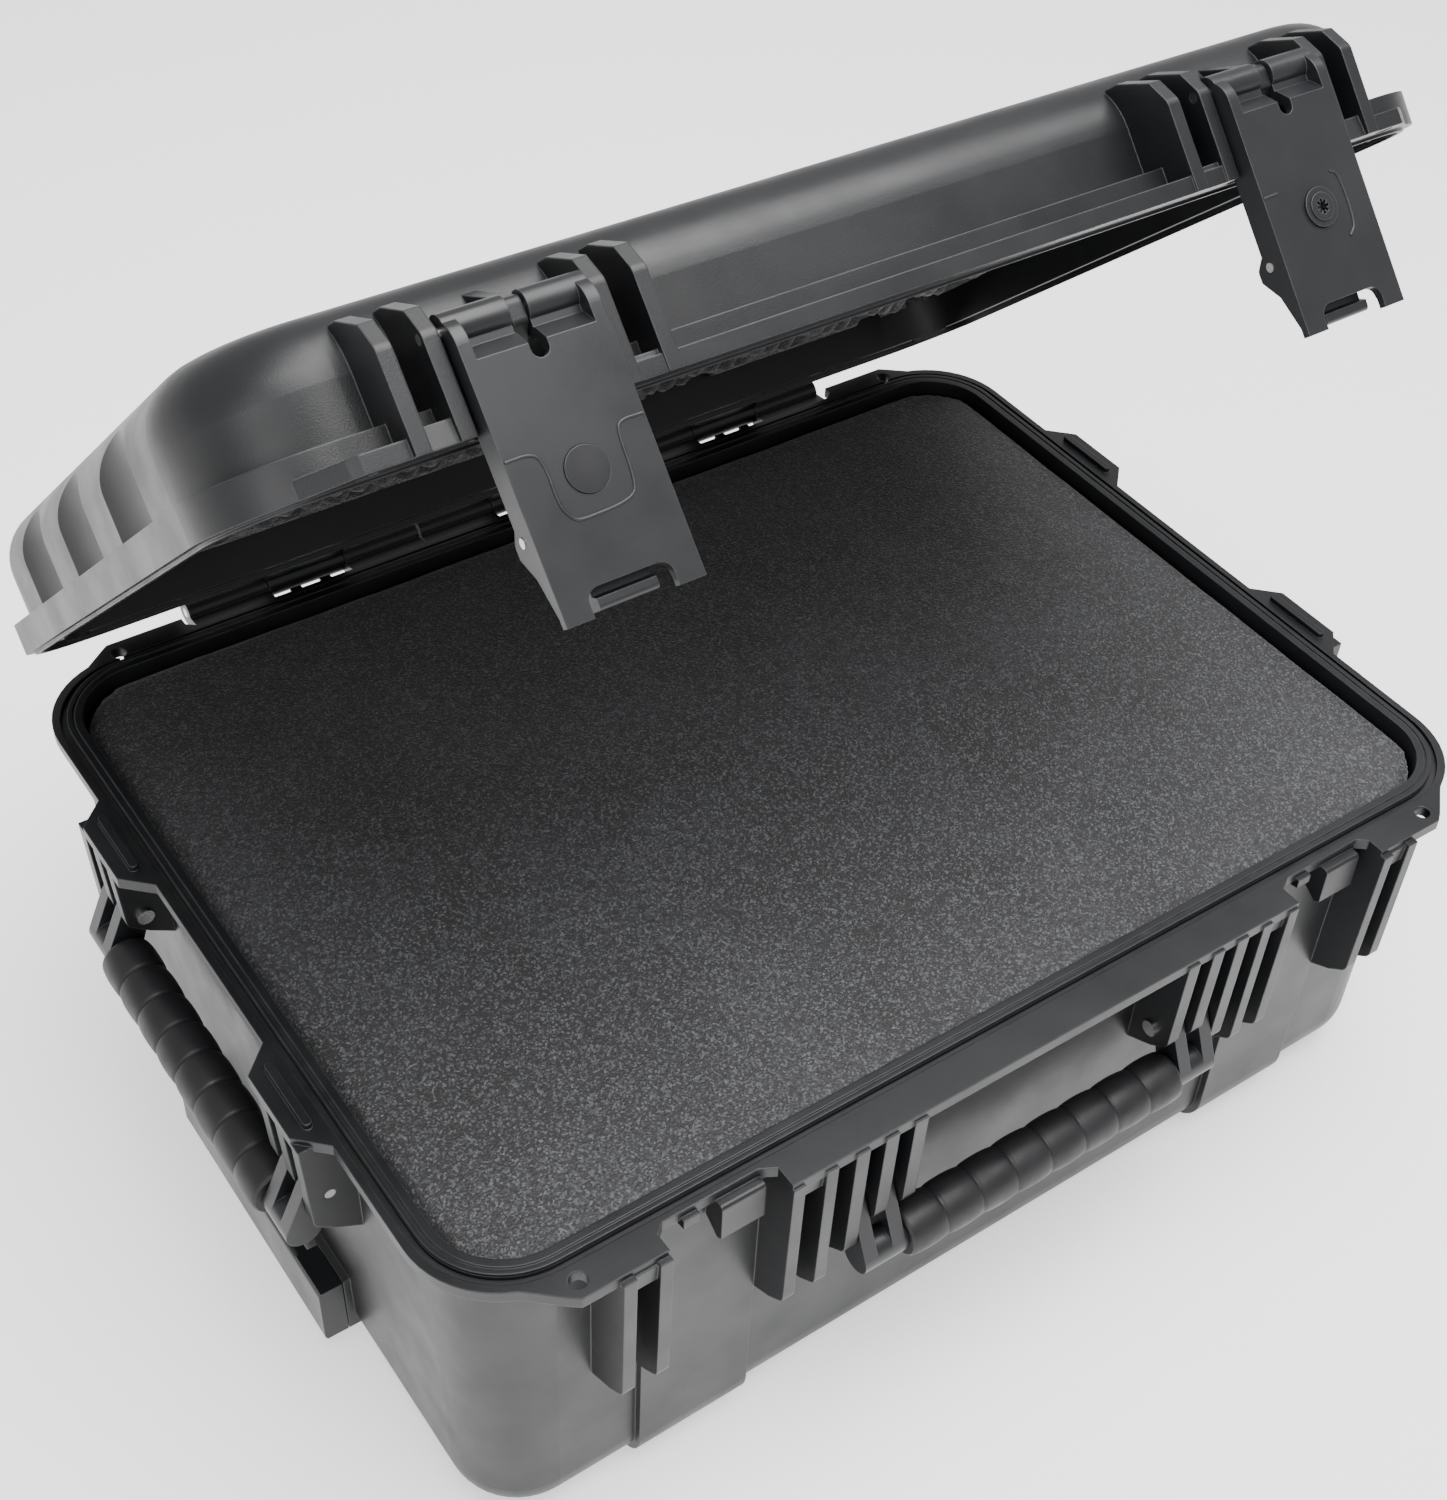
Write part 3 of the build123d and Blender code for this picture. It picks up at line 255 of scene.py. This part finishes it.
# ------------------------------------------------------------------ geometry node tools
class Growth:
    """Small helper that wires a geometry node tree with named inputs."""

    def __init__(self, name, **inputs):
        self.tree = bpy.data.node_groups.new(name, "GeometryNodeTree")
        face = self.tree.interface
        face.new_socket("Geometry", in_out="INPUT", socket_type="NodeSocketGeometry")
        for label, value in inputs.items():
            kind = {int: "NodeSocketInt", float: "NodeSocketFloat"}.get(type(value), "NodeSocketMaterial")
            face.new_socket(label, in_out="INPUT", socket_type=kind).default_value = value
        face.new_socket("Geometry", in_out="OUTPUT", socket_type="NodeSocketGeometry")
        self.given = self.tree.nodes.new("NodeGroupInput").outputs

    def add(self, kind, sockets=(), **settings):
        node = self.tree.nodes.new(kind)
        for key, value in settings.items():
            setattr(node, key, value)
        for slot, value in sockets:
            if isinstance(value, bpy.types.NodeSocket):
                self.tree.links.new(value, node.inputs[slot])
            else:
                node.inputs[slot].default_value = value
        return node.outputs

    def math(self, operation, first, second=0.0):
        return self.add("ShaderNodeMath", ((0, first), (1, second)), operation=operation)[0]

    def close(self, shape):
        solid = self.add("GeometryNodeRealizeInstances", (("Geometry", shape),))[0]
        smooth = self.add("GeometryNodeSetShadeSmooth", ((0, solid), ("Shade Smooth", True)))[0]
        coated = self.add("GeometryNodeSetMaterial",
                          (("Geometry", smooth), ("Material", self.given["finish"])))[0]
        self.add("NodeGroupOutput", (("Geometry", coated),))

    def grow(self, mesh, **values):
        """Mesh that the tree makes from a starting mesh and its inputs."""
        seed = bpy.data.objects.new("seed", mesh)
        bpy.context.scene.collection.objects.link(seed)
        modifier = seed.modifiers.new("growth", "NODES")
        modifier.node_group = self.tree
        for item in self.tree.interface.items_tree:
            if item.in_out == "INPUT" and item.name in values:
                modifier[item.identifier] = values[item.name]
        seed.update_tag()
        bpy.context.view_layer.update()
        shaped = bpy.data.meshes.new_from_object(seed.evaluated_get(bpy.context.evaluated_depsgraph_get()))
        seed.modifiers.remove(modifier)
        bpy.data.objects.remove(seed)
        return shaped


# ------------------------------------------------------------------ foam
def soft_block(node, cell, turn=Matrix()):
    """Foam block cut from a part's shape, with softened edges and a slightly uneven skin."""
    mesh = joined_copy(node)
    mesh.transform(turn)
    block = bpy.data.objects.new("cutting", mesh)
    bpy.context.scene.collection.objects.link(block)
    remesh = block.modifiers.new("cells", "REMESH")
    remesh.mode = "VOXEL"
    remesh.voxel_size = cell
    smooth = block.modifiers.new("soften", "SMOOTH")
    smooth.iterations = 3
    smooth.factor = 0.5
    bpy.context.view_layer.update()
    shaped = bpy.data.meshes.new_from_object(block.evaluated_get(bpy.context.evaluated_depsgraph_get()))
    bpy.data.objects.remove(block)
    normals = [vertex.normal.copy() for vertex in shaped.vertices]
    for vertex, normal in zip(shaped.vertices, normals):
        vertex.co += normal * noise.noise(vertex.co * 38.0) * 0.0004
    for face in shaped.polygons:
        face.use_smooth = True
    return shaped


for layer, cell in (("foam_pad", 0.006), ("foam_layer_lower", 0.006), ("foam_layer_upper", 0.0045)):
    cushion = add_piece(layer + "_block", soft_block(layer, cell), case_foam, "base", (layer,))

# egg-crate waves on the face of the lid foam
waves = Growth("foam_waves", pitch=0.04, depth=0.016, level=0.2245, finish=case_foam)
spot = waves.add("ShaderNodeSeparateXYZ", (("Vector", waves.add("GeometryNodeInputPosition")[0]),))
turns = waves.math("DIVIDE", 2 * math.pi, waves.given["pitch"])
crests = waves.math("MULTIPLY", waves.math("COSINE", waves.math("MULTIPLY", spot["X"], turns)),
                    waves.math("COSINE", waves.math("MULTIPLY", spot["Y"], turns)))
share = waves.math("MULTIPLY", waves.math("ADD", crests, 1.0), 0.5)
lift = waves.math("MULTIPLY", share, waves.given["depth"])
moved = waves.add("GeometryNodeSetPosition",
                  (("Geometry", waves.given["Geometry"]),
                   ("Selection", waves.math("LESS_THAN", spot["Z"], waves.given["level"])),
                   ("Offset", waves.add("ShaderNodeCombineXYZ", (("Z", lift),))[0])))
waves.close(moved[0])
convoluted = waves.grow(soft_block("lid_foam", 0.0045, lid_turn.inverted()), pitch=0.04, depth=0.016)
convoluted.transform(lid_turn)
add_piece("lid_foam_waves", convoluted, case_foam, "lid", ("lid_foam",))


# ------------------------------------------------------------------ handle grips
barrels = Growth("grip_barrels", length=0.164, radius=0.013, segments=8, groove=0.13, finish=grip_rubber)
half = barrels.math("MULTIPLY", barrels.given["length"], 0.5)
left_end = barrels.add("ShaderNodeCombineXYZ", (("X", barrels.math("MULTIPLY", half, -1.0)),))[0]
right_end = barrels.add("ShaderNodeCombineXYZ", (("X", half),))[0]
line = barrels.add("GeometryNodeCurvePrimitiveLine", (("Start", left_end), ("End", right_end)))
steps = barrels.math("ADD", barrels.math("MULTIPLY", barrels.given["segments"], 22.0), 1.0)
fine = barrels.add("GeometryNodeResampleCurve", (("Curve", line[0]), ("Count", steps)))
along = barrels.math("MULTIPLY", barrels.add("GeometryNodeSplineParameter")["Factor"],
                     barrels.math("MULTIPLY", barrels.given["segments"], math.pi))
swell = barrels.math("POWER", barrels.math("ABSOLUTE", barrels.math("SINE", along)), 0.28)
width = barrels.math("MULTIPLY", barrels.given["radius"],
                     barrels.math("SUBTRACT", 1.0, barrels.math("MULTIPLY", barrels.given["groove"],
                                                                barrels.math("SUBTRACT", 1.0, swell))))
profile = barrels.add("GeometryNodeCurvePrimitiveCircle", (("Resolution", 40), ("Radius", 1.0)))
barrels.close(barrels.add("GeometryNodeCurveToMesh",
                          (("Curve", fine[0]), ("Profile Curve", profile[0]), ("Scale", width),
                           ("Fill Caps", True)))[0])
for body, place in grip_places.items():
    grip = barrels.grow(bpy.data.meshes.new("seed"), segments=8)
    grip.transform(place)
    add_piece(body + "_grip_barrels", grip, grip_rubber, body, (body + "_grip",))


# ------------------------------------------------------------------ raised lines on the latches
beads = Growth("raised_line", radius=0.0006, finish=fitting_plastic)
path = beads.add("GeometryNodeMeshToCurve", (("Mesh", beads.given["Geometry"]),))
round_bar = beads.add("GeometryNodeCurvePrimitiveCircle",
                      (("Resolution", 10), ("Radius", beads.given["radius"])))
beads.close(beads.add("GeometryNodeCurveToMesh",
                      (("Curve", path[0]), ("Profile Curve", round_bar[0]), ("Fill Caps", True)))[0])


def raised_line(name, body, middle, points):
    """Thin raised line on a latch front; points are (sideways, height from the rim) in millimetres."""
    for smoothing in range(3):
        cut = [points[0]]
        for (x0, z0), (x1, z1) in zip(points, points[1:]):
            cut += [(0.75 * x0 + 0.25 * x1, 0.75 * z0 + 0.25 * z1),
                    (0.25 * x0 + 0.75 * x1, 0.25 * z0 + 0.75 * z1)]
        points = cut + [points[-1]]
    thread = bpy.data.meshes.new("thread")
    thread.from_pydata([(middle + x / 1000, -latch_face, rim_height + z / 1000) for x, z in points],
                       [(i, i + 1) for i in range(len(points) - 1)], [])
    thread.transform(lid_turn)
    add_piece(name, beads.grow(thread, radius=0.0006), fitting_plastic, body)


raised_line("left_latch_line", "latch_left", -latch_spacing,
            [(-27.4, -11.1), (-16.5, -11), (-13.9, -16.5), (-14.5, -30.8), (-11.4, -36.4), (-7.9, -37.6),
             (11.7, -36.8), (15.4, -31.6), (15.7, -14.1), (17.4, -10.1), (27.4, -10.3)])
raised_line("right_latch_line", "latch_right", latch_spacing, [(11, -9), (15.5, -11), (15.8, -33), (11, -37)])
raised_line("right_latch_edge_line", "latch_right", latch_spacing, [(-27.4, -11.2), (-24, -11), (-20, -11)])


# ------------------------------------------------------------------ floor, light and camera
floor_mesh = bpy.data.meshes.new("floor")
floor_mesh.from_pydata([(-30, -30, 0), (30, -30, 0), (30, 30, 0), (-30, 30, 0)], [], [(0, 1, 2, 3)])
floor = bpy.data.objects.new("floor", floor_mesh)
bpy.context.scene.collection.objects.link(floor)
pale = Finish("pale_floor")
pale.join(pale.mix(pale.noise(3.0), (0.90, 0.90, 0.90), (0.93, 0.93, 0.93)), pale.shader.inputs["Base Color"])
pale.shader.inputs["Roughness"].default_value = 0.9
pale.shader.inputs["Specular IOR Level"].default_value = 0.1
pale.shader.inputs["Emission Color"].default_value = (1.0, 1.0, 1.0, 1.0)
pale.shader.inputs["Emission Strength"].default_value = 0.8
floor_mesh.materials.append(pale.material)

world = bpy.data.worlds.new("studio")
bpy.context.scene.world = world
world.use_nodes = True
world.node_tree.nodes["Background"].inputs["Color"].default_value = (1.0, 1.0, 1.0, 1.0)
world.node_tree.nodes["Background"].inputs["Strength"].default_value = 0.7


def softbox(name, place, target, size, power):
    """Rectangular studio light aimed at a point."""
    light = bpy.data.lights.new(name, "AREA")
    light.shape = "RECTANGLE"
    light.size, light.size_y = size
    light.energy = power
    lamp = bpy.data.objects.new(name, light)
    lamp.location = place
    lamp.rotation_euler = (Vector(target) - Vector(place)).to_track_quat("-Z", "Y").to_euler()
    bpy.context.scene.collection.objects.link(lamp)


softbox("overhead", (0.2, -0.3, 2.0), (0.0, -0.1, 0.15), (2.0, 1.4), 80.0)
softbox("left_front", (-1.9, -1.2, 1.4), (0.0, 0.0, 0.2), (0.9, 1.6), 20.0)

camera_data = bpy.data.cameras.new("view")
camera_data.sensor_width = 36.0
camera_data.lens = 2232.07 / 1500 * 36
camera_data.shift_x = (723.5 - 840.5) / 1500
camera_data.shift_y = (737.9 - 750.0) / 1500
camera = bpy.data.objects.new("view", camera_data)
right = Vector((0.80528, -0.58941, 0.06427))
up = Vector((0.36293, 0.57575, 0.73266))
back = Vector((-0.46884, -0.56667, 0.67755))
camera.matrix_world = Matrix(((right.x, up.x, back.x, -0.49403), (right.y, up.y, back.y, -0.65992),
                              (right.z, up.z, back.z, 0.75747 + rim_height), (0, 0, 0, 1)))
bpy.context.scene.collection.objects.link(camera)
bpy.context.scene.camera = camera
